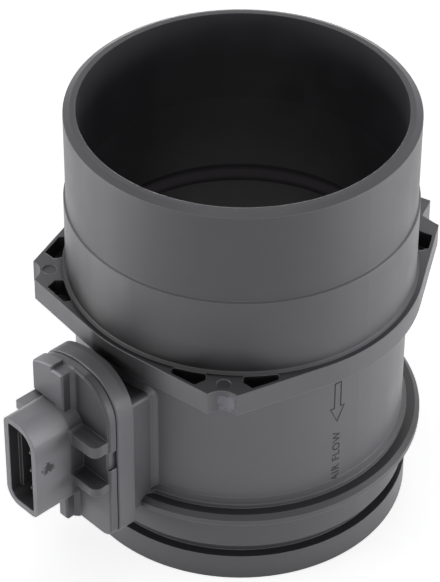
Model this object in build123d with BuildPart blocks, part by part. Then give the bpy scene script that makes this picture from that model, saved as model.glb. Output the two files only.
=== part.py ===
from build123d import *
import os
from math import acos, atan2, cos, degrees, hypot, radians, sin, sqrt

os.makedirs("parts", exist_ok=True)

# Mass airflow sensor: a moulded flow tube that carries a sensor head on its side.
# The tube stands on its outlet end, its axis is Z, and the head points to -Y.

# --- Flow tube, from the outlet end upwards -----------------------------------------------
inlet_bore_radius = 41.0
bore_step = 1.4  # the bore narrows by this much at the flange
bore_cone_height = 4.3

bead_wall = 4.8  # hose bead at the very end; walls are measured from the bore
bead_height = 7.6
groove_wall = 2.3
groove_height = 2.5
neck_wall = 4.4  # the hose is clamped here
neck_edge = 0.9
neck_height = 11.5
lip_rise = 3.7  # stop for the hose
lip_chamfer = 1.2
lip_height = 2.7
barrel_wall = 3.25
step_rise = 1.25  # small step at the barrel's foot
step_height = 1.2
foot_height = 1.2
barrel_height = 39.2
flange_thickness = 6.3
collar_wall = 3.75  # foot of the inlet spigot
collar_height = 21.7
collar_chamfer = 0.6
collar_cone_height = 0.5
spigot_wall = 3.2
spigot_height = 25.7
rim_chamfer_width = 1.7
rim_chamfer_height = 0.9

outlet_bore_radius = inlet_bore_radius - bore_step
bead_radius = outlet_bore_radius + bead_wall
groove_radius = outlet_bore_radius + groove_wall
neck_radius = outlet_bore_radius + neck_wall
lip_radius = neck_radius + lip_rise
barrel_radius = outlet_bore_radius + barrel_wall
step_radius = barrel_radius + step_rise
collar_radius = inlet_bore_radius + collar_wall
spigot_radius = inlet_bore_radius + spigot_wall

groove_bottom = bead_height
neck_bottom = groove_bottom + groove_height
lip_bottom = neck_bottom + neck_height
ledge = lip_bottom + lip_height
flange_bottom = ledge + barrel_height
flange_top = flange_bottom + flange_thickness
collar_top = flange_top + collar_height
spigot_bottom = collar_top + collar_cone_height
tube_top = spigot_bottom + spigot_height

# --- Flange ears: each end is notched for a screw ------------------------------------------
flange_rim = 1.95  # round part of the flange outside the collar
ear_rise = 6.2
ear_half_width = 3.6
notch_depth = 1.6
ear_azimuths = [-48.4, -128.0, 150.2]
wide_ear_azimuth = 68.4
wide_ear_rise = 7.6
wide_ear_half_width = 5.3
wide_ear_turn = -13.1  # its end face is turned out of the radial direction
wide_notch_depth = 3.5
wide_notch_round = 1.0
ear_rim = 0.85  # wall left around each pocket
pocket_collar_wall = 0.9  # between a pocket and the collar
pocket_screw_wall = 4.6  # wall left around each notch
pocket_near = 4.5  # each pocket lies between these distances from its ear's middle
pocket_far = 13.2
inner_corner = 0.7  # smallest corner radius in plan
pocket_depth = 5.0
ejector_mark_radius = 1.8
ejector_mark_inset = 4.1  # its middle, in from the ear's end
ejector_mark_depth = 0.25

flange_radius = collar_radius + flange_rim
ear_reach = flange_radius + ear_rise
wide_ear_reach = flange_radius + wide_ear_rise
pocket_inner_radius = collar_radius + pocket_collar_wall

# --- Sensor head --------------------------------------------------------------------------
head_drop = 2.75  # top of the head below the flange's top
head_height = 49.75
head_width = 27.2
crown_radius = 23.0  # the head's top edge is an arc
left_corner_centre = 6.2  # centres of the two top corners, from the head's middle
right_corner_centre = 2.0
head_bottom_corner = 3.5
boss_gap = 2.6  # between the flange's edge and the boss
boss_depth = 5.2
stem_inset = 1.6  # the stem's sides, in from the boss's
stem_drop = 12.5  # top of the stem below the flange's top
stem_round = 2.0
stem_bite = 0.7  # the stem starts this far outside the bore
stem_chamfer = 1.2  # where the stem meets the barrel
seam_chamfer = 0.3  # along the joint between boss and cover
boss_wall = 2.8
board_pocket_depth = 3.2

boss_back = flange_radius + boss_gap
seam = boss_back + boss_depth
head_top = flange_top - head_drop
head_bottom = head_top - head_height
head_middle = (head_top + head_bottom) / 2
stem_top = flange_top - stem_drop
stem_width = head_width - 2 * stem_inset
stem_root = outlet_bore_radius + stem_bite
board_seat = seam - board_pocket_depth

seal_width = 1.2
seal_depth = 0.8
seal_gap = 0.05

# --- Connector cover ----------------------------------------------------------------------
cover_thickness = 2.7
cover_step = 0.4  # the cover's outline, in from the boss's
spine_right = 0.4  # its right side, from the head's middle
spine_width = 3.1
spine_height = 3.7
spine_foot = 1.1  # slope at its foot, on the shelves' side
block_side_gap = 2.6  # the block's left side, in from the head's
block_right = 3.3  # its right side, left of the head's middle
block_rise = 0.85  # its top above the cover's outline
block_round = 1.6
front_chamfer = 0.45
shroud_shift = 2.6  # the shroud's middle, left of the head's
shroud_half_width = 6.0
shroud_wall = 1.7
shroud_height = 27.9
shroud_drop = 0.9  # the shroud's middle below the head's
shroud_length = 15.3
shroud_corners = (2.2, 6.5, 2.6, 4.6)  # top left, top right, bottom right, bottom left
socket_floor = 2.8  # material between the cover's face and the socket
key_depth = 3.0  # the key rib starts this far inside the mouth
key_width = 1.2
latch_length = 9.2
latch_height = 2.6
latch_drop = 0.6  # its top below the top of the shroud
shelf_inset = 0.15  # the shelves' ends, in from the cover's edge
shelf_length = 4.6
shelf_corner = 2.2
upper_shelf_drop = 4.6  # tops of the two shelves below the top of the shroud
upper_shelf_thickness = 3.3
lower_shelf_drop = 18.4
lower_shelf_thickness = 2.4
side_notch_height = 5.8
side_notch_depth = 0.9
side_notch_drop = 8.6  # its top below the top of the shroud

cover_face = seam + cover_thickness
mouth = cover_face + shroud_length
block_left = head_width / 2 - block_side_gap
spine_left = spine_right - spine_width
shroud_left = -shroud_shift - shroud_half_width
shroud_middle = head_middle - shroud_drop
shroud_top = shroud_middle + shroud_height / 2
shroud_bottom = shroud_middle - shroud_height / 2

pin_count = 4
pin_pitch = 5.9
pin_size = 1.3
pin_taper = 1.0
pin_recess = 3.0
pin_point = 0.6

# --- Measuring probe ----------------------------------------------------------------------
arm_thickness = 8.0
arm_height = 21.0
arm_tip = 2.0  # distance of the tip from the tube's axis
arm_clearance = 0.15
probe_plate_thickness = 3.0
probe_plate_width = 17.4
probe_plate_height = 25.4
probe_plate_gap = 0.3
gasket_thickness = 0.8
gasket_width = 2.0
seat_wall = 4.9  # the tube's wall under the probe's seat
arm_middle = head_middle - 1.6

channel_inner = 10.0  # bypass channel, between these distances from the tube's axis
channel_outer = 24.0
channel_throat = 7.0
channel_floor = -1.0  # its depth is measured from the arm's middle plane
divider = 2.0
trough_half_height = 3.0
lid_thickness = 1.0
lid_half_height = 6.2
lid_inner = 9.0
lid_overlap = 2.4  # the lid ends this far outside the bore
carrier_inner = 14.0
carrier_outer = 32.0
carrier_thickness = 0.6
carrier_half_height = 2.2
film_length = 3.5
film_height = 3.0
film_thickness = 0.3
film_inner = 16.5
lead_thickness = 0.3
lead_width = 0.7
lead_pitch = 1.2
lead_count = 4
window_inner = 4.0
window_outer = 8.5
window_half_height = 5.0
bead_half_length = 1.3
thermistor_radius = 1.1
thermistor_wire_radius = 0.25

# --- Electronics --------------------------------------------------------------------------
board_thickness = 1.0
board_gap = 0.3
chip_width = 7.0
chip_height = 5.0
chip_thickness = 1.1
chip_gap = 2.0
capacitor_length = 2.0
capacitor_width = 1.2
capacitor_thickness = 0.8
capacitor_side = 5.4
gel_thickness = 1.6
gel_gap = 0.05

seat_floor = outlet_bore_radius + seat_wall
lid_outer = outlet_bore_radius + lid_overlap
board_face = board_seat + board_thickness
plate_back = seat_floor + gasket_thickness
plate_front = plate_back + probe_plate_thickness
carrier_bottom = (channel_floor + arm_thickness / 2 - lid_thickness) / 2 - carrier_thickness / 2
pin_heights = [shroud_middle + pin_pitch * (i - (pin_count - 1) / 2) for i in range(pin_count)]


def head_plane(distance):
    """Upright plane across the head: its X is the object's X and its Y is the object's Z."""
    return Plane(origin=(0, -distance, 0), x_dir=(1, 0, 0), z_dir=(0, -1, 0))


def arm_plane(x):
    """Plane along the probe: its X runs outwards from the tube's axis, its Y is the object's Z."""
    return Plane(origin=(x, 0, 0), x_dir=(0, -1, 0), z_dir=(-1, 0, 0))


def head_outline(inset=0.0):
    """Outline shared by the boss, the cover and what lies between them, with a crowned top."""
    half, low, high = head_width / 2 - inset, head_bottom + inset, head_top - inset
    arc = crown_radius - inset
    shoulder = high - arc + sqrt(arc**2 - half**2)
    with BuildSketch(Plane.XY) as outline:
        with BuildLine():
            Polyline((-half, shoulder), (-half, low), (half, low), (half, shoulder))
            ThreePointArc((half, shoulder), (0, high), (-half, shoulder))
        make_face()
        for side, centre in ((-1, left_corner_centre), (1, right_corner_centre)):
            corner = outline.vertices().sort_by_distance((side * half, shoulder, 0))[0]
            fillet(corner, half - centre)
        lower = outline.vertices().group_by(Axis.Y)[0]
        fillet(lower, max(head_bottom_corner - inset, inner_corner))
    return outline.sketch


def ear_tips(azimuth, reach, half_width, turn):
    """The two outer corners of an ear, in polar form."""
    centre = Vector(reach, 0).rotate(Axis.Z, azimuth)
    side = Vector(0, half_width).rotate(Axis.Z, azimuth + turn)
    corners = [centre - side, centre + side]
    return [(hypot(c.X, c.Y), degrees(atan2(c.Y, c.X))) for c in corners]


def on_circle(radius, angle):
    return (radius * cos(radians(angle)), radius * sin(radians(angle)))


def ear_outline(azimuth, reach, half_width, turn=0.0, inset=0.0):
    """An ear's straight sides run from its tips to where they touch the flange's circle."""
    first, last = ear_tips(azimuth, reach, half_width, turn)
    start = first[1] - degrees(acos(flange_radius / first[0]))
    end = last[1] + degrees(acos(flange_radius / last[0]))
    with BuildSketch(Plane.XY) as ear:
        with BuildLine():
            Polyline(
                (0, 0), on_circle(flange_radius, start), on_circle(*first),
                on_circle(*last), on_circle(flange_radius, end), close=True,
            )
        make_face()
        if inset:
            offset(amount=-inset, kind=Kind.INTERSECTION)
    return ear.sketch


def notch_radius(half_width, depth):
    """Radius of the arc through an ear's two tips and the bottom of its notch."""
    return (half_width**2 + depth**2) / (2 * depth)


def notch_centre(azimuth, reach, half_width, depth, turn=0.0):
    back = notch_radius(half_width, depth) - depth
    centre = Vector(reach, 0).rotate(Axis.Z, azimuth) + Vector(back, 0).rotate(Axis.Z, azimuth + turn)
    return (centre.X, centre.Y)


def round_notch(azimuth, reach, half_width, depth, turn=0.0):
    """Arc that bites into an ear's end, from tip to tip."""
    with BuildSketch(Plane.XY) as notch:
        with Locations(notch_centre(azimuth, reach, half_width, depth, turn)):
            Circle(notch_radius(half_width, depth))
    return notch.sketch


def vee_notch(azimuth, reach, half_width, depth, turn=0.0):
    """Straight-sided bite with a rounded bottom, from tip to tip."""
    first, last = ear_tips(azimuth, reach, half_width, turn)
    far_off = 2 * reach
    with BuildSketch(Plane.XY) as notch:
        with BuildLine():
            Polyline(
                on_circle(reach - depth, azimuth), on_circle(*first),
                on_circle(far_off, first[1]), on_circle(far_off, last[1]),
                on_circle(*last), close=True,
            )
        make_face()
        bottom = notch.vertices().sort_by_distance((*on_circle(reach - depth, azimuth), 0))[0]
        fillet(bottom, wide_notch_round)
    return notch.sketch


def pocket_outline(azimuth, reach, half_width, depth, turn=0.0):
    """The two lightening pockets of an ear, one on each side of its notch."""
    keep_out = notch_radius(half_width, depth) + pocket_screw_wall
    with BuildSketch(Plane.XY) as pockets:
        add(ear_outline(azimuth, reach, half_width, turn, ear_rim))
        Circle(pocket_inner_radius, mode=Mode.SUBTRACT)
        with Locations(notch_centre(azimuth, reach, half_width, depth, turn)):
            Circle(keep_out, mode=Mode.SUBTRACT)
        with Locations(Location((0, 0, 0), (0, 0, azimuth))):
            Rectangle(4 * reach, 2 * pocket_far, mode=Mode.INTERSECT)
            Rectangle(4 * reach, 2 * pocket_near, mode=Mode.SUBTRACT)
        fillet(pockets.vertices(), inner_corner)
    return pockets.sketch


plain_ears = [(azimuth, ear_reach, ear_half_width, notch_depth) for azimuth in ear_azimuths]
wide_ear = (wide_ear_azimuth, wide_ear_reach, wide_ear_half_width, wide_notch_depth, wide_ear_turn)

# ------------------------------------------------------------------------------------------
# Flow tube: one moulding
# ------------------------------------------------------------------------------------------
with BuildPart() as flow_tube:
    # Wall of revolution: hose bead, neck, stop lip, barrel, spigot and the stepped bore
    with BuildSketch(Plane.XZ):
        with BuildLine():
            Polyline(
                (outlet_bore_radius, 0),
                (bead_radius, 0),
                (bead_radius, groove_bottom),
                (groove_radius, groove_bottom),
                (groove_radius, neck_bottom),
                (neck_radius - neck_edge, neck_bottom),
                (neck_radius, neck_bottom + neck_edge),
                (neck_radius, lip_bottom),
                (lip_radius, lip_bottom),
                (lip_radius, ledge - lip_chamfer),
                (lip_radius - lip_chamfer, ledge),
                (step_radius, ledge),
                (step_radius, ledge + step_height),
                (barrel_radius, ledge + step_height + foot_height),
                (barrel_radius, flange_bottom),
                (flange_radius, flange_bottom),
                (flange_radius, flange_top),
                (collar_radius + collar_chamfer, flange_top),
                (collar_radius, flange_top + collar_chamfer),
                (collar_radius, collar_top),
                (spigot_radius, spigot_bottom),
                (spigot_radius, tube_top - rim_chamfer_height),
                (spigot_radius - rim_chamfer_width, tube_top),
                (inlet_bore_radius, tube_top),
                (inlet_bore_radius, flange_top),
                (outlet_bore_radius, flange_top - bore_cone_height),
                close=True,
            )
        make_face()
    revolve(axis=Axis.Z)

    # Flange with its notched ears
    with BuildSketch(Plane.XY.offset(flange_bottom)):
        Circle(flange_radius)
        for ear in plain_ears:
            add(ear_outline(*ear[:3]))
            add(round_notch(*ear), mode=Mode.SUBTRACT)
        add(ear_outline(wide_ear_azimuth, wide_ear_reach, wide_ear_half_width, wide_ear_turn))
        add(vee_notch(*wide_ear), mode=Mode.SUBTRACT)
        Circle(barrel_radius, mode=Mode.SUBTRACT)
    extrude(amount=flange_thickness)

    # Lightening pockets and ejector marks in the ears
    with BuildSketch(Plane.XY.offset(flange_top)):
        for ear in (*plain_ears, wide_ear):
            add(pocket_outline(*ear))
    extrude(amount=-pocket_depth, mode=Mode.SUBTRACT)
    with BuildSketch(Plane.XY.offset(flange_top)):
        for azimuth in ear_azimuths:
            with Locations(on_circle(ear_reach - ejector_mark_inset, azimuth)):
                Circle(ejector_mark_radius)
    extrude(amount=-ejector_mark_depth, mode=Mode.SUBTRACT)

    # Stem and boss of the sensor head
    with BuildSketch(head_plane(stem_root)):
        with Locations((0, (stem_top + lip_bottom) / 2)):
            stem = Rectangle(stem_width, stem_top - lip_bottom)
        fillet(stem.vertices().group_by(Axis.Y)[-1], stem_round)
    extrude(amount=boss_back - stem_root)
    stem_edges = flow_tube.edges().filter_by(Axis.Z).filter_by_position(
        Axis.Y, -barrel_radius, -stem_root, inclusive=(True, True)
    ).filter_by_position(Axis.Z, lip_bottom, flange_bottom)
    chamfer(stem_edges, stem_chamfer)
    with BuildSketch(head_plane(boss_back)):
        add(head_outline())
    extrude(amount=boss_depth)
    front_rim = flow_tube.faces().sort_by(Axis.Y)[0].outer_wire().edges()
    chamfer(front_rim, seam_chamfer)

    # Pocket for the electronics, with the groove for the cover's seal round it
    with BuildSketch(head_plane(seam)):
        add(head_outline(boss_wall))
    extrude(amount=-board_pocket_depth, mode=Mode.SUBTRACT)
    with BuildSketch(head_plane(seam)):
        add(head_outline((boss_wall - seal_width) / 2))
        add(head_outline((boss_wall + seal_width) / 2), mode=Mode.SUBTRACT)
    extrude(amount=-seal_depth, mode=Mode.SUBTRACT)

    # Seat of the probe, and the slot that its arm passes through
    with BuildSketch(head_plane(seat_floor)):
        with Locations((0, arm_middle)):
            Rectangle(
                probe_plate_width + 2 * probe_plate_gap, probe_plate_height + 2 * probe_plate_gap
            )
    extrude(amount=board_seat - seat_floor, mode=Mode.SUBTRACT)
    with BuildSketch(head_plane(seat_floor)):
        with Locations((0, arm_middle)):
            SlotOverall(arm_height + 2 * arm_clearance, arm_thickness + 2 * arm_clearance, rotation=90)
    extrude(amount=outlet_bore_radius / 2 - seat_floor, mode=Mode.SUBTRACT)
flow_tube.part.label = "flow_tube"

# ------------------------------------------------------------------------------------------
# Connector cover: closes the head and carries the plug's shroud
# ------------------------------------------------------------------------------------------


def shroud_outline(inset=0.0):
    """Keyed outline of the shroud, whose four corners all differ."""
    half, low, high = shroud_half_width - inset, shroud_bottom + inset, shroud_top - inset
    left, right = -shroud_shift - half, -shroud_shift + half
    places = [(left, high), (right, high), (right, low), (left, low)]
    with BuildSketch(Plane.XY) as outline:
        with Locations((-shroud_shift, shroud_middle)):
            Rectangle(2 * half, high - low)
        for place, radius in zip(places, shroud_corners):
            corner = outline.vertices().sort_by_distance((*place, 0))[0]
            fillet(corner, max(radius - inset, inner_corner))
    return outline.sketch


def shelf(top, thickness):
    """Side wall of the latch space, standing on the cover beside the shroud."""
    reach = head_width / 2 - cover_step - shelf_inset
    with BuildPart() as plate:
        with BuildSketch(Plane.XY.offset(top)):
            with Locations((reach / 2, -cover_face - shelf_length / 2)):
                plan = Rectangle(reach, shelf_length)
            outer = plan.vertices().sort_by(Axis.Y)[:2].sort_by(Axis.X)[-1]
            fillet(outer, shelf_corner)
        extrude(amount=-thickness)
    return plate.part


def block_outline():
    """The block stands a little above the cover's outline."""
    with BuildSketch(Plane.XY) as block:
        with Locations((-(block_left + block_right) / 2, head_top)):
            Rectangle(block_left - block_right, 2 * (head_top - shroud_top))
        add(head_outline(cover_step - block_rise), mode=Mode.INTERSECT)
        upper_left = block.vertices().group_by(Axis.X)[0].sort_by(Axis.Y)[-1]
        fillet(upper_left, block_round)
    return block.sketch


with BuildPart() as connector_cover:
    with BuildSketch(head_plane(seam)):
        add(head_outline(cover_step))
    extrude(amount=cover_thickness)
    chamfer(connector_cover.faces().sort_by(Axis.Y)[-1].outer_wire().edges(), seam_chamfer)
    chamfer(connector_cover.faces().sort_by(Axis.Y)[0].outer_wire().edges(), front_chamfer)

    # Spine from end to end, and the block above the shroud
    with BuildSketch(head_plane(cover_face)):
        with Locations(((spine_left + spine_right) / 2, head_middle)):
            Rectangle(spine_width, 2 * head_height)
        with Locations(((spine_right - block_right) / 2, head_top)):
            Rectangle(spine_right + block_right, 2 * (head_top - shroud_top))
        add(head_outline(cover_step + front_chamfer), mode=Mode.INTERSECT)
        add(block_outline())
    extrude(amount=spine_height)
    chamfer(connector_cover.faces().sort_by(Axis.Y)[0].outer_wire().edges(), front_chamfer)
    with BuildSketch(Plane.XY.offset(head_bottom + front_chamfer)):
        with BuildLine():
            Polyline(
                (spine_left, -cover_face), (spine_left, -cover_face - spine_foot),
                (spine_right, -cover_face - spine_foot),
                (spine_right + spine_foot, -cover_face), close=True,
            )
        make_face()
    extrude(amount=head_height - 2 * inner_corner)
    latch_right = shroud_left + shroud_wall
    with BuildSketch(head_plane(cover_face)):
        with Locations(((latch_right - block_left) / 2, shroud_top - latch_drop - latch_height / 2)):
            Rectangle(latch_right + block_left, latch_height)
    extrude(amount=latch_length)

    # Two shelves that guide the plug's latch
    add(shelf(shroud_top - upper_shelf_drop, upper_shelf_thickness))
    add(shelf(shroud_top - lower_shelf_drop, lower_shelf_thickness))

    # Shroud with its socket, and the key rib inside
    with BuildSketch(head_plane(cover_face)):
        add(shroud_outline())
    extrude(amount=shroud_length)
    with BuildSketch(head_plane(cover_face + socket_floor)):
        add(shroud_outline(shroud_wall))
    extrude(amount=shroud_length - socket_floor, mode=Mode.SUBTRACT)
    with BuildSketch(head_plane(cover_face + socket_floor)):
        with Locations((shroud_left + shroud_wall + key_width / 2, shroud_middle)):
            Rectangle(key_width, shroud_height - 2 * shroud_wall - shroud_corners[3])
    extrude(amount=shroud_length - socket_floor - key_depth)

    # Notch in the cover's edge beside the shelves
    with BuildSketch(head_plane(seam)):
        edge = head_width / 2 - cover_step
        with Locations((edge, shroud_top - side_notch_drop - side_notch_height / 2)):
            Rectangle(2 * side_notch_depth, side_notch_height)
    extrude(amount=cover_thickness, mode=Mode.SUBTRACT)

    # Holes for the terminal pins
    with BuildSketch(head_plane(seam)):
        for height in pin_heights:
            with Locations((-shroud_shift, height)):
                Rectangle(pin_size, pin_size)
    extrude(amount=cover_thickness + socket_floor, mode=Mode.SUBTRACT)
connector_cover.part.label = "connector_cover"

with BuildPart() as cover_seal:
    with BuildSketch(head_plane(seam - seal_depth)):
        add(head_outline((boss_wall - seal_width) / 2 + seal_gap))
        add(head_outline((boss_wall + seal_width) / 2 - seal_gap), mode=Mode.SUBTRACT)
    extrude(amount=seal_depth)
cover_seal.part.label = "cover_seal"


def terminal_pin(height):
    """Square pin, pointed at its free end and soldered through the board."""
    with BuildPart() as pin:
        with BuildSketch(head_plane(board_seat)):
            with Locations((-shroud_shift, height)):
                Rectangle(pin_size, pin_size)
        extrude(amount=mouth - pin_recess - pin_taper - board_seat)
        with BuildSketch(head_plane(mouth - pin_recess - pin_taper)):
            with Locations((-shroud_shift, height)):
                Rectangle(pin_size, pin_size)
        with BuildSketch(head_plane(mouth - pin_recess)):
            with Locations((-shroud_shift, height)):
                Rectangle(pin_point, pin_point)
        loft()
    return pin.part


terminal_pins = [terminal_pin(height) for height in pin_heights]

# ------------------------------------------------------------------------------------------
# Measuring probe: an arm across the bore with a bypass channel in it
# ------------------------------------------------------------------------------------------
with BuildPart() as probe_body:
    with BuildSketch(head_plane(arm_tip)):
        with Locations((0, arm_middle)):
            SlotOverall(arm_height, arm_thickness, rotation=90)
    extrude(amount=plate_back - arm_tip)
    with BuildSketch(head_plane(plate_back)):
        with Locations((0, arm_middle)):
            Rectangle(probe_plate_width, probe_plate_height)
    extrude(amount=probe_plate_thickness)

    # Seat of the lid in the arm's flat side
    with BuildSketch(arm_plane(arm_thickness / 2)):
        with Locations(((lid_inner + lid_outer) / 2, arm_middle)):
            Rectangle(lid_outer - lid_inner, 2 * lid_half_height)
    extrude(amount=lid_thickness, mode=Mode.SUBTRACT)

    # Bypass channel, narrowed to a throat where the element stands
    channel_middle = (channel_inner + channel_outer) / 2
    squeeze = (channel_outer - channel_inner - channel_throat) / 2
    low, high = arm_middle - arm_height / 2 - 1, arm_middle + arm_height / 2 + 1
    with BuildSketch(arm_plane(arm_thickness / 2 - lid_thickness)):
        with BuildLine():
            ThreePointArc(
                (channel_inner, low), (channel_inner + squeeze, arm_middle), (channel_inner, high)
            )
            Line((channel_inner, high), (channel_outer, high))
            ThreePointArc(
                (channel_outer, high), (channel_outer - squeeze, arm_middle), (channel_outer, low)
            )
            Line((channel_outer, low), (channel_inner, low))
        make_face()
    extrude(amount=arm_thickness / 2 - lid_thickness - channel_floor, mode=Mode.SUBTRACT)

    # Trough for the leads, and the hole that holds the carrier in the wall between
    trough_start = channel_outer + divider
    with BuildSketch(arm_plane(arm_thickness / 2 - lid_thickness)):
        with Locations(((trough_start + plate_front) / 2, arm_middle)):
            Rectangle(plate_front - trough_start, 2 * trough_half_height)
    extrude(amount=arm_thickness / 2 - lid_thickness - carrier_bottom, mode=Mode.SUBTRACT)
    with BuildSketch(arm_plane(carrier_bottom + carrier_thickness)):
        with Locations(((carrier_inner + trough_start) / 2, arm_middle)):
            Rectangle(trough_start - carrier_inner, 2 * carrier_half_height)
    extrude(amount=carrier_thickness, mode=Mode.SUBTRACT)

    # Open window for the intake air thermistor
    with BuildSketch(arm_plane(arm_thickness)):
        with Locations(((window_inner + window_outer) / 2, arm_middle)):
            Rectangle(window_outer - window_inner, 2 * window_half_height)
    extrude(amount=2 * arm_thickness, mode=Mode.SUBTRACT)
probe_body.part.label = "probe_body"

with BuildPart() as probe_lid:
    with BuildSketch(arm_plane(arm_thickness / 2)):
        with Locations(((lid_inner + lid_outer) / 2, arm_middle)):
            Rectangle(lid_outer - lid_inner, 2 * lid_half_height)
    extrude(amount=lid_thickness)
probe_lid.part.label = "probe_lid"

with BuildPart() as probe_gasket:
    with BuildSketch(head_plane(seat_floor)):
        with Locations((0, arm_middle)):
            SlotOverall(
                arm_height + 2 * arm_clearance + gasket_width,
                arm_thickness + 2 * arm_clearance + gasket_width, rotation=90,
            )
            SlotOverall(
                arm_height + 2 * arm_clearance, arm_thickness + 2 * arm_clearance,
                rotation=90, mode=Mode.SUBTRACT,
            )
    extrude(amount=gasket_thickness)
probe_gasket.part.label = "probe_gasket"

with BuildPart() as element_carrier:
    with BuildSketch(arm_plane(carrier_bottom + carrier_thickness)):
        with Locations(((carrier_inner + carrier_outer) / 2, arm_middle)):
            Rectangle(carrier_outer - carrier_inner, 2 * carrier_half_height)
    extrude(amount=carrier_thickness)
element_carrier.part.label = "element_carrier"

with BuildPart() as hot_film_element:
    with BuildSketch(arm_plane(carrier_bottom + carrier_thickness + film_thickness)):
        with Locations((film_inner + film_length / 2, arm_middle)):
            Rectangle(film_length, film_height)
    extrude(amount=film_thickness)
hot_film_element.part.label = "hot_film_element"

with BuildPart() as sensor_leads:
    with BuildSketch(arm_plane(carrier_bottom + lead_thickness)):
        for i in range(lead_count):
            height = arm_middle + lead_pitch * (i - (lead_count - 1) / 2)
            with Locations(((carrier_outer + board_seat) / 2, height)):
                Rectangle(board_seat - carrier_outer, lead_width)
    extrude(amount=lead_thickness)
sensor_leads.part.label = "sensor_leads"

window_middle = (window_inner + window_outer) / 2
with BuildPart() as thermistor_bead:
    with BuildSketch(Plane.XY.offset(arm_middle - bead_half_length)):
        with Locations((0, -window_middle)):
            Circle(thermistor_radius)
    extrude(amount=2 * bead_half_length)
    chamfer(thermistor_bead.edges().filter_by(GeomType.CIRCLE), thermistor_radius / 3)
thermistor_bead.part.label = "thermistor_bead"

with BuildPart() as thermistor_leads:
    for start in (arm_middle + bead_half_length, arm_middle - window_half_height):
        with BuildSketch(Plane.XY.offset(start)):
            with Locations((0, -window_middle)):
                Circle(thermistor_wire_radius)
        extrude(amount=window_half_height - bead_half_length)
thermistor_leads.part.label = "thermistor_leads"

# ------------------------------------------------------------------------------------------
# Electronics in the head
# ------------------------------------------------------------------------------------------
with BuildPart() as circuit_board:
    with BuildSketch(head_plane(board_seat)):
        add(head_outline(boss_wall + board_gap))
        for height in pin_heights:
            with Locations((-shroud_shift, height)):
                Rectangle(pin_size, pin_size, mode=Mode.SUBTRACT)
    extrude(amount=board_thickness)
circuit_board.part.label = "circuit_board"

with BuildPart() as signal_chip:
    with BuildSketch(head_plane(board_face)):
        with Locations((0, pin_heights[0] - pin_size / 2 - chip_gap - chip_height / 2)):
            Rectangle(chip_width, chip_height)
    extrude(amount=chip_thickness)
signal_chip.part.label = "signal_chip"

with BuildPart() as chip_capacitors:
    with BuildSketch(head_plane(board_face)):
        for height in pin_heights:
            with Locations((capacitor_side, height)):
                Rectangle(capacitor_length, capacitor_width)
    extrude(amount=capacitor_thickness)
chip_capacitors.part.label = "chip_capacitors"

with BuildPart() as protective_gel:
    with BuildSketch(head_plane(board_face)):
        add(head_outline(boss_wall + gel_gap))
        for height in pin_heights:
            with Locations((-shroud_shift, height)):
                Rectangle(pin_size, pin_size, mode=Mode.SUBTRACT)
    extrude(amount=gel_thickness)
    add(signal_chip.part, mode=Mode.SUBTRACT)
    add(chip_capacitors.part, mode=Mode.SUBTRACT)
protective_gel.part.label = "protective_gel"

# ------------------------------------------------------------------------------------------
# Export, one file per piece
# ------------------------------------------------------------------------------------------
pieces = [
    flow_tube, connector_cover, cover_seal, probe_body, probe_lid, probe_gasket, element_carrier,
    hot_film_element, sensor_leads, thermistor_bead, thermistor_leads, circuit_board, signal_chip,
    chip_capacitors, protective_gel,
]
for piece in pieces:
    export_step(piece.part, f"parts/{piece.part.label}.step")
for number, pin in enumerate(terminal_pins, start=1):
    pin.label = f"terminal_pin_{number}"
    export_step(pin, f"parts/{pin.label}.step")
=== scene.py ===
from math import cos, radians, sin

import bpy
from mathutils import Matrix, Vector


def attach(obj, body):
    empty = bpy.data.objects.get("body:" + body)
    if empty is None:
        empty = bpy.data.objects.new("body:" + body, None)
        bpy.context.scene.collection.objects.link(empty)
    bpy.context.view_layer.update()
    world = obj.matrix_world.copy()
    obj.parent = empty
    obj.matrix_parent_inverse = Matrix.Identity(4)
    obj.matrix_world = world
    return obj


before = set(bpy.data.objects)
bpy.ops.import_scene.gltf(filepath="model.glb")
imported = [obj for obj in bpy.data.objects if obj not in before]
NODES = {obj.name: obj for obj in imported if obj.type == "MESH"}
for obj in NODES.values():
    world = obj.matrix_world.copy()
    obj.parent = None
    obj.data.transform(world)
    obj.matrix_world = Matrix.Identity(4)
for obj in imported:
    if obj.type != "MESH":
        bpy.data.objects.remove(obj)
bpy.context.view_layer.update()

# Lengths are in metres, in the part's frame: the tube's axis is Z, and the head is toward -Y.
TUBE_HEIGHT = 0.1177
FLANGE_TOP = 0.0698
LIP_TOP = 0.0244
BORE_WALL = (0.0412, 0.0409)  # radii between which the tube's end face gives way to its bore
BARREL_RADIUS = 0.04285
MARK_MIDDLE = radians(-9.0)   # where on the barrel the arrow and the words stand


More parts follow.
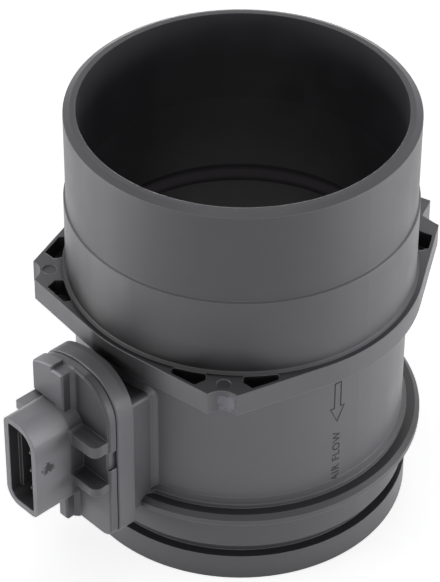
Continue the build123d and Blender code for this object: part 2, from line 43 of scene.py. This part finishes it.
# ---------------------------------------------------------------------------------------
# Camera
# ---------------------------------------------------------------------------------------
def make_camera():
    """Camera fitted to the photograph's rings and outline. It stands behind the origin, looks
    along +Y and down, and is then turned about the tube's axis to the photograph's side."""
    focal_pixels, frame_pixels, sensor = 2852.25, 582.0, 36.0
    distance, above_tube = 0.570369, 0.404082
    pan, tilt, roll, turn = -0.0093853, 0.6812694, 0.0060619, radians(46.1195)
    forward = Vector((sin(pan) * cos(tilt), cos(pan) * cos(tilt), -sin(tilt)))
    level = Vector((cos(pan), -sin(pan), 0.0))
    upright = level.cross(forward)
    right = cos(roll) * level + sin(roll) * upright
    up = -sin(roll) * level + cos(roll) * upright
    matrix = Matrix((
        (right.x, up.x, -forward.x, 0.0),
        (right.y, up.y, -forward.y, -distance),
        (right.z, up.z, -forward.z, TUBE_HEIGHT + above_tube),
        (0.0, 0.0, 0.0, 1.0),
    ))
    data = bpy.data.cameras.new("camera")
    data.sensor_width = sensor
    data.lens = focal_pixels * sensor / frame_pixels
    data.clip_start = 0.01
    data.clip_end = 20.0
    camera = bpy.data.objects.new("camera", data)
    camera.matrix_world = Matrix.Rotation(turn, 4, "Z") @ matrix
    bpy.context.scene.collection.objects.link(camera)
    bpy.context.scene.camera = camera


# ---------------------------------------------------------------------------------------
# Shader helpers
# ---------------------------------------------------------------------------------------
def new_material(name):
    material = bpy.data.materials.new(name)
    material.use_nodes = True
    tree = material.node_tree
    tree.nodes.clear()
    out = tree.nodes.new("ShaderNodeOutputMaterial")
    shader = tree.nodes.new("ShaderNodeBsdfPrincipled")
    tree.links.new(shader.outputs[0], out.inputs["Surface"])
    return material, Graph(tree), shader


class Graph:
    """Small helper that adds nodes to one material."""

    def __init__(self, tree):
        self.tree = tree

    def node(self, kind, **values):
        made = self.tree.nodes.new(kind)
        for key, value in values.items():
            setattr(made, key, value)
        return made

    def link(self, a, b):
        self.tree.links.new(a, b)

    def put(self, socket, value):
        if isinstance(value, bpy.types.NodeSocket):
            self.link(value, socket)
        else:
            socket.default_value = value

    def math(self, operation, *values):
        made = self.node("ShaderNodeMath", operation=operation)
        for place, value in enumerate(values):
            self.put(made.inputs[place], value)
        return made.outputs[0]

    def mapped(self, value, low, high, to_low=0.0, to_high=1.0):
        """Value carried from one range to another and held inside it. Low may be the larger."""
        made = self.node("ShaderNodeMapRange", clamp=True)
        self.put(made.inputs[0], value)
        for place, number in zip((1, 2, 3, 4), (low, high, to_low, to_high)):
            made.inputs[place].default_value = number
        return made.outputs[0]

    def mix(self, factor, a, b):
        made = self.node("ShaderNodeMix", data_type="RGBA")
        self.put(made.inputs[0], factor)
        self.put(made.inputs[6], a)
        self.put(made.inputs[7], b)
        return made.outputs[2]

    def both(self, *masks):
        """Product of the masks: 1 where all of them apply."""
        product = masks[0]
        for mask in masks[1:]:
            product = self.math("MULTIPLY", product, mask)
        return product

    def tint(self, base, mask, share, colour):
        """Base with a share of the colour mixed in where the mask is 1."""
        return self.mix(self.both(mask, share), base, colour)

    def between(self, value, low, high, soft=0.0001):
        """1 from low to high, 0 outside."""
        above = self.mapped(value, low - soft, low)
        return self.both(above, self.mapped(value, high + soft, high))

    def position(self):
        return self.node("ShaderNodeTexCoord").outputs["Object"]

    def split(self, vector):
        made = self.node("ShaderNodeSeparateXYZ")
        self.link(vector, made.inputs[0])
        return made.outputs

    def scaled(self, vector, x, y, z):
        made = self.node("ShaderNodeMapping")
        self.link(vector, made.inputs[0])
        made.inputs["Scale"].default_value = (x, y, z)
        return made.outputs[0]

    def noise(self, vector, scale, detail=2.0, roughness=0.5):
        made = self.node("ShaderNodeTexNoise")
        self.link(vector, made.inputs["Vector"])
        made.inputs["Scale"].default_value = scale
        made.inputs["Detail"].default_value = detail
        made.inputs["Roughness"].default_value = roughness
        return made.outputs["Fac"]

    def blotch(self, place, centre, size, raggedness):
        """1 inside an uneven round patch about a point, 0 outside it."""
        away = self.node("ShaderNodeVectorMath", operation="DISTANCE")
        self.link(place, away.inputs[0])
        away.inputs[1].default_value = centre
        unevenness = self.noise(place, raggedness, 2.0)
        ragged = self.mapped(unevenness, 0.3, 0.7, 0.4 * size, 1.6 * size)
        return self.mapped(self.math("DIVIDE", away.outputs["Value"], ragged), 1.2, 0.7)

    def facing_up(self):
        """1 on faces that look up, 0 on upright ones."""
        geometry = self.node("ShaderNodeNewGeometry")
        return self.mapped(self.split(geometry.outputs["Normal"])[2], 0.35, 0.7)

    def rounded(self, radius):
        """The normal as if edges had this radius."""
        bevel = self.node("ShaderNodeBevel", samples=6)
        bevel.inputs["Radius"].default_value = radius
        return bevel.outputs[0]

    def edge(self, rounded):
        """1 where the rounded normal leaves the true one, so at edges."""
        geometry = self.node("ShaderNodeNewGeometry")
        dot = self.node("ShaderNodeVectorMath", operation="DOT_PRODUCT")
        self.link(rounded, dot.inputs[0])
        self.link(geometry.outputs["Normal"], dot.inputs[1])
        return self.mapped(dot.outputs["Value"], 0.995, 0.80)

    def bump(self, height, strength, distance, normal=None):
        made = self.node("ShaderNodeBump")
        made.inputs["Strength"].default_value = strength
        made.inputs["Distance"].default_value = distance
        self.link(height, made.inputs["Height"])
        if normal is not None:
            self.link(normal, made.inputs["Normal"])
        return made.outputs[0]

    def seen(self):
        """1 for camera, glossy and transmission rays, so that what shows isn't what lights."""
        rays = self.node("ShaderNodeLightPath")
        seen = self.math("MAXIMUM", rays.outputs["Is Camera Ray"], rays.outputs["Is Glossy Ray"])
        return self.math("MAXIMUM", seen, rays.outputs["Is Transmission Ray"])


def rgb(r, g, b):
    """8-bit screen colour to the linear value a shader takes."""
    def linear(v):
        v /= 255.0
        return v / 12.92 if v <= 0.04045 else ((v + 0.055) / 1.055) ** 2.4
    return (linear(r), linear(g), linear(b), 1.0)


def times(colour, factor):
    """The colour made lighter or darker."""
    return tuple(c * factor for c in colour[:3]) + (1.0,)


BLACK = (0.0, 0.0, 0.0, 1.0)
WHITE = (1.0, 1.0, 1.0, 1.0)


# ---------------------------------------------------------------------------------------
# Materials
# ---------------------------------------------------------------------------------------
def moulded(name, colour, lighter, roughness=0.42, zones=None):
    """Black moulded plastic: fine grain, faint flow clouds, painted shade in crevices, painted
    highlights on edges.
    """
    material, g, shader = new_material(name)
    place = g.position()
    rounded = g.rounded(0.00035)
    grain = g.noise(place, 2600.0, 3.0, 0.6)
    clouds = g.noise(place, 38.0, 3.0, 0.55)
    streaks = g.noise(g.scaled(place, 1.0, 1.0, 0.06), 260.0, 2.0, 0.5)
    base = g.mix(g.mapped(clouds, 0.3, 0.7), colour, times(colour, 1.13))
    if zones:
        base = zones(g, place, base)
    # painted shade: where the occlusion finds a crevice, the colour is darkened toward black
    crevice = g.node("ShaderNodeAmbientOcclusion", samples=6)
    crevice.inputs["Distance"].default_value = 0.008
    crevice_shade = g.mapped(crevice.outputs["AO"], 0.85, 0.25, 0.0, 0.6)
    base = g.mix(crevice_shade, base, BLACK)
    # painted highlight: edges are made paler
    base = g.tint(base, g.edge(rounded), 0.8, lighter)
    g.link(base, shader.inputs["Base Color"])
    uneven = g.mapped(g.noise(place, 75.0, 2.0), 0.3, 0.7, roughness - 0.04, roughness + 0.05)
    streaked = g.mapped(streaks, 0.3, 0.7, -0.02, 0.02)
    g.link(g.math("ADD", uneven, streaked), shader.inputs["Roughness"])
    shader.inputs["IOR"].default_value = 1.5
    normal = g.bump(grain, 0.22, 0.00006, rounded)
    normal = g.bump(streaks, 0.05, 0.0001, normal)
    g.link(normal, shader.inputs["Normal"])
    return material


def tube_zones(g, place, base):
    """How the moulding's tone changes from place to place: the barrel and the head's boss are
    paler, painted shade lies over the collar's foot, the flange's side face, the low ledges and the
    bore, which is nearly black, and painted highlights lie on the barrel's front, a notch and top
    faces."""
    x, y, z = g.split(place)
    radius = g.math("SQRT", g.math("ADD", g.both(x, x), g.both(y, y)))
    upward = g.facing_up()

    def facing(along_x, along_y):
        """Cosine of the angle round the tube from a direction."""
        along = g.math("MULTIPLY_ADD", x, along_x, g.both(y, along_y))
        return g.math("DIVIDE", along, radius)

    barrel = g.between(z, LIP_TOP, FLANGE_TOP)
    head = g.mapped(y, -0.0440, -0.0445)
    base = g.tint(base, g.math("MAXIMUM", barrel, head), 0.4, rgb(112, 112, 116))
    spigot = g.mapped(z, 0.0914, 0.0917)
    base = g.tint(base, spigot, 0.2, BLACK)
    # painted highlight: the barrel's outside is paler on the side toward the camera
    front = g.mapped(facing(0.6, -0.8), 0.6, 1.0)
    skin = g.mapped(radius, 0.0436, 0.0434)
    base = g.tint(base, g.both(barrel, front, skin), 0.25, rgb(140, 140, 145))
    boss = g.mapped(y, -0.0488, -0.0493)
    base = g.tint(base, boss, 0.35, rgb(136, 135, 140))

    # painted shade at the collar's foot and above it, on the side of the head, and on the flange's
    # side face above the head
    head_side = facing(-0.34, -0.94)
    root = g.both(g.mapped(z, 0.0640, 0.0690), g.mapped(radius, 0.0466, 0.0456))
    low = g.both(g.mapped(z, 0.0780, 0.0702), g.mapped(head_side, -0.1, 0.5))
    high = g.both(g.mapped(z, 0.0900, 0.0702), g.mapped(head_side, 0.1, 1.0))
    base = g.tint(base, g.both(root, low), 0.8, BLACK)
    base = g.tint(base, g.both(root, high), 0.75, BLACK)
    above_head = g.both(g.mapped(x, -0.0055, -0.0040), g.mapped(x, 0.0220, 0.0130))
    side_face = g.both(g.between(z, 0.0635, 0.0696), g.between(y, -0.0488, -0.0437))
    base = g.tint(base, g.both(above_head, side_face), 0.8, BLACK)

    # a painted highlight in the front notch, painted light on faces that look up, and painted shade
    # on the low ledges
    notch_glint = g.blotch(place, (0.0346, -0.0381, 0.0664), 0.0022, 420.0)
    base = g.tint(base, notch_glint, 0.8, rgb(140, 140, 150))
    # painted light: the rim's and the boss's faces that look up get paler tones
    rim = g.both(upward, g.mapped(z, 0.1160, 0.1165))
    base = g.tint(base, rim, 0.8, rgb(94, 93, 97))
    boss_top = g.both(upward, g.mapped(y, -0.0505, -0.0510))
    base = g.tint(base, boss_top, 0.8, rgb(132, 131, 136))
    # painted shade on the faces that look up low on the tube
    ledges = g.both(upward, g.mapped(z, 0.0300, 0.0260), g.mapped(radius, 0.0412, 0.0420))
    base = g.tint(base, ledges, 0.5, BLACK)

    # painted shade in the bore, darker lower down, and a painted highlight on the step in it
    inside = g.mapped(radius, *BORE_WALL)
    depth = g.mapped(z, 0.0500, 0.1100, 0.7, 0.25)
    base = g.tint(base, inside, depth, rgb(20, 8, 21))
    step = g.both(g.between(z, 0.0668, 0.0682, 0.0010), inside)
    return g.tint(base, step, 0.5, rgb(150, 142, 146))


def cover_zones(g, place, base):
    """The shroud is paler, and painted light lies on the faces that look up on the shroud and the
    block. The recess, the shelves and the socket's inside are darker with painted shade."""
    x, y, z = g.split(place)
    front = g.mapped(y, -0.0606, -0.0616)
    base = g.tint(base, front, 0.35, rgb(136, 135, 139))
    # painted light: the faces that look up on the shroud, the block and the latch are paler
    lit_tops = g.both(g.facing_up(), g.mapped(x, 0.0045, 0.0035))
    base = g.tint(base, lit_tops, 0.9, rgb(158, 157, 162))
    shroud = g.both(g.between(y, -0.0722, -0.0616, 0.0006), g.mapped(x, 0.0047, 0.0045))
    base = g.tint(base, shroud, 0.3, rgb(164, 163, 168))
    # painted highlight: the shroud's top faces are paler still
    base = g.tint(base, g.both(shroud, lit_tops), 0.8, rgb(190, 189, 194))
    # painted shade on the shelves and the field beside them
    shelves = g.both(g.mapped(y, -0.0590, -0.0596), g.mapped(x, 0.0046, 0.0048))
    base = g.tint(base, shelves, 0.25, rgb(20, 20, 21))
    # painted shade in the recess
    recess = g.both(g.between(y, -0.0574, -0.0565), g.mapped(x, 0.0002, 0.0006))
    recess = g.both(recess, g.mapped(z, 0.0290, 0.0370))
    base = g.tint(base, recess, 0.6, rgb(20, 20, 21))
    smudge = g.blotch(place, (0.0034, -0.0687, 0.0427), 0.0016, 1300.0)
    base = g.tint(base, smudge, 0.9, rgb(20, 20, 22))
    # painted shade inside the socket
    socket = g.both(g.between(x, -0.0070, 0.0018), g.between(z, 0.0289, 0.0536))
    short_of_corner = g.mapped(g.math("ADD", x, z), 0.0540, 0.0534)
    socket = g.both(socket, g.between(y, -0.0722, -0.0575), short_of_corner)
    return g.tint(base, socket, 0.75, rgb(10, 10, 11))


def metal(name, colour, roughness):
    material, g, shader = new_material(name)
    scratches = g.noise(g.scaled(g.position(), 6.0, 1.0, 6.0), 700.0, 2.0)
    tone = g.mix(g.mapped(scratches, 0.35, 0.65), times(colour, 0.8), colour)
    g.link(tone, shader.inputs["Base Color"])
    dull = g.mapped(scratches, 0.3, 0.7, roughness - 0.06, roughness + 0.08)
    g.link(dull, shader.inputs["Roughness"])
    shader.inputs["Metallic"].default_value = 1.0
    normal = g.bump(scratches, 0.08, 0.00003, g.rounded(0.00012))
    g.link(normal, shader.inputs["Normal"])
    return material


def plain(name, colour, variation, scale, roughness, bump=0.1):
    """A finish whose colour and surface vary a little at the given scale."""
    material, g, shader = new_material(name)
    spots = g.noise(g.position(), scale, 3.0, 0.6)
    tone = g.mix(g.mapped(spots, 0.3, 0.7), times(colour, 1.0 - variation), colour)
    g.link(tone, shader.inputs["Base Color"])
    dull = g.mapped(spots, 0.3, 0.7, roughness - 0.05, roughness + 0.05)
    g.link(dull, shader.inputs["Roughness"])
    g.link(g.bump(spots, bump, 0.00004, g.rounded(0.0001)), shader.inputs["Normal"])
    return material


def board_finish():
    """Solder mask over copper tracks that run along the board."""
    material, g, shader = new_material("board_finish")
    place = g.position()
    lanes = g.math("FRACT", g.both(g.split(place)[0], 780.0))
    run = g.mapped(g.noise(g.scaled(place, 5.0, 1.0, 1.0), 130.0, 0.0), 0.47, 0.49)
    track = g.both(g.mapped(lanes, 0.55, 0.60), run)
    g.link(g.mix(track, rgb(20, 70, 42), rgb(44, 108, 66)), shader.inputs["Base Color"])
    shader.inputs["Roughness"].default_value = 0.28
    g.link(g.bump(track, 0.4, 0.00004), shader.inputs["Normal"])
    return material


def stage_white():
    """White to the camera and to reflections, but it keeps the object's soft shadow."""
    material, g, shader = new_material("stage_white")
    shader.inputs["Base Color"].default_value = (0.86, 0.86, 0.86, 1.0)
    shader.inputs["Roughness"].default_value = 0.9
    shader.inputs["Specular IOR Level"].default_value = 0.0
    glow = g.node("ShaderNodeEmission")
    glow.inputs["Color"].default_value = WHITE
    away = g.node("ShaderNodeVectorMath", operation="LENGTH")
    g.link(g.position(), away.inputs[0])
    # the lamps light the floor less far out, so it glows more there
    strength = g.mapped(away.outputs["Value"], 0.4, 1.6, 0.74, 0.90)
    g.link(g.both(g.seen(), strength), glow.inputs["Strength"])
    added = g.node("ShaderNodeAddShader")
    g.link(shader.outputs[0], added.inputs[0])
    g.link(glow.outputs[0], added.inputs[1])
    out = next(n for n in g.tree.nodes if n.type == "OUTPUT_MATERIAL")
    g.link(added.outputs[0], out.inputs["Surface"])
    return material


# ---------------------------------------------------------------------------------------
# Stage and light
# ---------------------------------------------------------------------------------------
def make_stage():
    half = 6
    mesh = bpy.data.meshes.new("floor")
    corners = [(-half, -half, 0), (half, -half, 0), (half, half, 0), (-half, half, 0)]
    mesh.from_pydata(corners, [], [(0, 1, 2, 3)])
    floor = bpy.data.objects.new("floor", mesh)
    mesh.materials.append(stage_white())
    bpy.context.scene.collection.objects.link(floor)
    world = bpy.data.worlds.new("world")
    bpy.context.scene.world = world
    world.use_nodes = True
    background = world.node_tree.nodes["Background"]
    background.inputs["Color"].default_value = WHITE
    g = Graph(world.node_tree)
    lighting, showing = 0.12, 1.0  # the world's strength where it lights, and where it is seen
    strength = g.math("MULTIPLY_ADD", g.seen(), showing - lighting, lighting)
    g.link(strength, background.inputs["Strength"])


def add_lamp(name, shape, size, power):
    data = bpy.data.lights.new(name, "AREA")
    data.shape = shape
    data.size = size
    data.energy = power
    lamp = bpy.data.objects.new(name, data)
    bpy.context.scene.collection.objects.link(lamp)
    return lamp


def soft_box(name, azimuth, elevation, distance, size, power):
    """Area light at a direction given in degrees round the object, aimed at its middle."""
    lamp = add_lamp(name, "RECTANGLE", size[0], power)
    lamp.data.size_y = size[1]
    a, e = radians(azimuth), radians(elevation)
    away = Vector((cos(e) * cos(a), cos(e) * sin(a), sin(e)))
    middle = Vector((0.0, 0.0, 0.06))
    lamp.location = away * distance + middle
    lamp.rotation_euler = away.to_track_quat("Z", "Y").to_euler()


def table_light(name, azimuth, away, power):
    """Lamp over the table beside the object, which lights it by way of the table."""
    lamp = add_lamp(name, "DISK", 0.10, power)
    lamp.data.spread = radians(50.0)
    a = radians(azimuth)
    lamp.location = (away * cos(a), away * sin(a), 0.5)


def make_lights():
    # Azimuths are in the part's frame, where the camera stands at -44. The lamps stand low, so that
    # upright faces are lit more than those that face up.
    soft_box("key_right", 38.0, 5.0, 1.0, (0.8, 0.22), 5.2)
    soft_box("key_left", -126.0, 5.0, 1.0, (0.8, 0.22), 4.8)
    soft_box("fill_front", -44.0, 6.0, 1.2, (0.5, 0.24), 1.6)
    soft_box("back", 136.0, 5.0, 1.2, (0.6, 0.22), 3.0)
    soft_box("top", 136.0, 86.0, 1.0, (0.5, 0.5), 1.2)
    table_light("table_right", 38.0, 0.36, 0.6)
    table_light("table_left", -126.0, 0.36, 0.6)


# ---------------------------------------------------------------------------------------
# Pieces of the scene
# ---------------------------------------------------------------------------------------
def on_barrel(across, height, out=0.0):
    """Point of the barrel's surface, across to the left of the mark's middle line."""
    angle = MARK_MIDDLE - across / BARREL_RADIUS
    radius = BARREL_RADIUS + out
    return Vector((radius * cos(angle), radius * sin(angle), height))


def add_mark(name, mesh):
    mark = bpy.data.objects.new(name, mesh)
    bpy.context.scene.collection.objects.link(mark)
    mesh.materials.clear()
    # the marks take the dark finish that paints their shade
    mesh.materials.append(groove_shade)
    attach(mark, "root")


def mesh_of(curve):
    """Mesh of a curve or text, which is then dropped."""
    drawn = bpy.data.objects.new("drawn", curve)
    mesh = bpy.data.meshes.new_from_object(drawn)
    bpy.data.objects.remove(drawn)
    return mesh


def flow_arrow():
    """Outline of an arrow along the air flow, a fine line moulded on the barrel."""
    top, shoulder, tip = 0.0590, 0.0510, 0.0463
    shaft, head = 0.00093, 0.0021
    corners = [
        (-shaft, top), (shaft, top), (shaft, shoulder), (head, shoulder),
        (0.0, tip), (-head, shoulder), (-shaft, shoulder),
    ]
    curve = bpy.data.curves.new("flow_arrow", "CURVE")
    curve.dimensions = "3D"
    curve.bevel_depth = 0.00016
    curve.bevel_resolution = 2
    path = curve.splines.new("POLY")
    path.use_cyclic_u = True
    path.points.add(len(corners) - 1)
    for point, corner in zip(path.points, corners):
        point.co = (*on_barrel(*corner), 1.0)
    add_mark("flow_arrow", mesh_of(curve))


def flow_words():
    """Plain words below the arrow that say what it points along. They read upward."""
    bottom, middle_line, proud = 0.0262, -0.0011, 0.00004
    text = bpy.data.curves.new("flow_words", "FONT")
    text.body = "AIR FLOW"
    text.size = 0.0032
    text.space_character = 1.15
    text.offset = 0.00005
    text.resolution_u = 3
    mesh = mesh_of(text)
    for vertex in mesh.vertices:
        along, up = vertex.co.x, vertex.co.y
        vertex.co = on_barrel(up + middle_line, bottom + along, proud)
    add_mark("flow_words", mesh)


# ---------------------------------------------------------------------------------------
# Making
# ---------------------------------------------------------------------------------------
make_camera()
make_stage()
make_lights()

tube_plastic = moulded("tube_plastic", rgb(86, 85, 89), rgb(150, 149, 156), zones=tube_zones)
cover_plastic = moulded(
    "cover_plastic", rgb(98, 97, 101), rgb(154, 153, 158), roughness=0.46, zones=cover_zones,
)
probe_plastic = moulded("probe_plastic", rgb(50, 50, 53), rgb(90, 90, 94), roughness=0.5)
seal_rubber = plain("seal_rubber", rgb(38, 38, 38), 0.25, 900.0, 0.7)
carrier_ceramic = plain("carrier_ceramic", rgb(232, 232, 226), 0.05, 1500.0, 0.5)
film_metal = metal("film_metal", rgb(196, 190, 176), 0.3)
# tin grey, partly darkened as painted shade for the pins deep in the socket; the leads share it
pin_metal = metal("pin_metal", rgb(120, 118, 114), 0.4)
# painted shade: the arrow and the words are coloured dark, as their moulded lines look in shade
groove_shade = plain("groove_shade", rgb(40, 40, 43), 0.2, 900.0, 0.6)
bead_glass = plain("bead_glass", rgb(70, 46, 34), 0.3, 1200.0, 0.18)
board_laminate = board_finish()
chip_plastic = plain("chip_plastic", rgb(44, 44, 46), 0.2, 2500.0, 0.55)
capacitor_ceramic = plain("capacitor_ceramic", rgb(176, 150, 122), 0.15, 2000.0, 0.4)
gel = plain("gel", rgb(190, 194, 196), 0.06, 120.0, 0.15, 0.05)

FINISH = {
    "flow_tube": tube_plastic, "connector_cover": cover_plastic,
    "probe_body": probe_plastic, "probe_lid": probe_plastic,
    "cover_seal": seal_rubber, "probe_gasket": seal_rubber,
    "element_carrier": carrier_ceramic, "hot_film_element": film_metal,
    "sensor_leads": pin_metal, "thermistor_bead": bead_glass, "thermistor_leads": pin_metal,
    "circuit_board": board_laminate, "signal_chip": chip_plastic,
    "chip_capacitors": capacitor_ceramic, "protective_gel": gel,
    "terminal_pin_1": pin_metal, "terminal_pin_2": pin_metal,
    "terminal_pin_3": pin_metal, "terminal_pin_4": pin_metal,
}
for name, node in NODES.items():
    for place in node.material_slots:
        place.material = FINISH[name]
flow_arrow()
flow_words()

bpy.context.scene.view_settings.view_transform = "Standard"
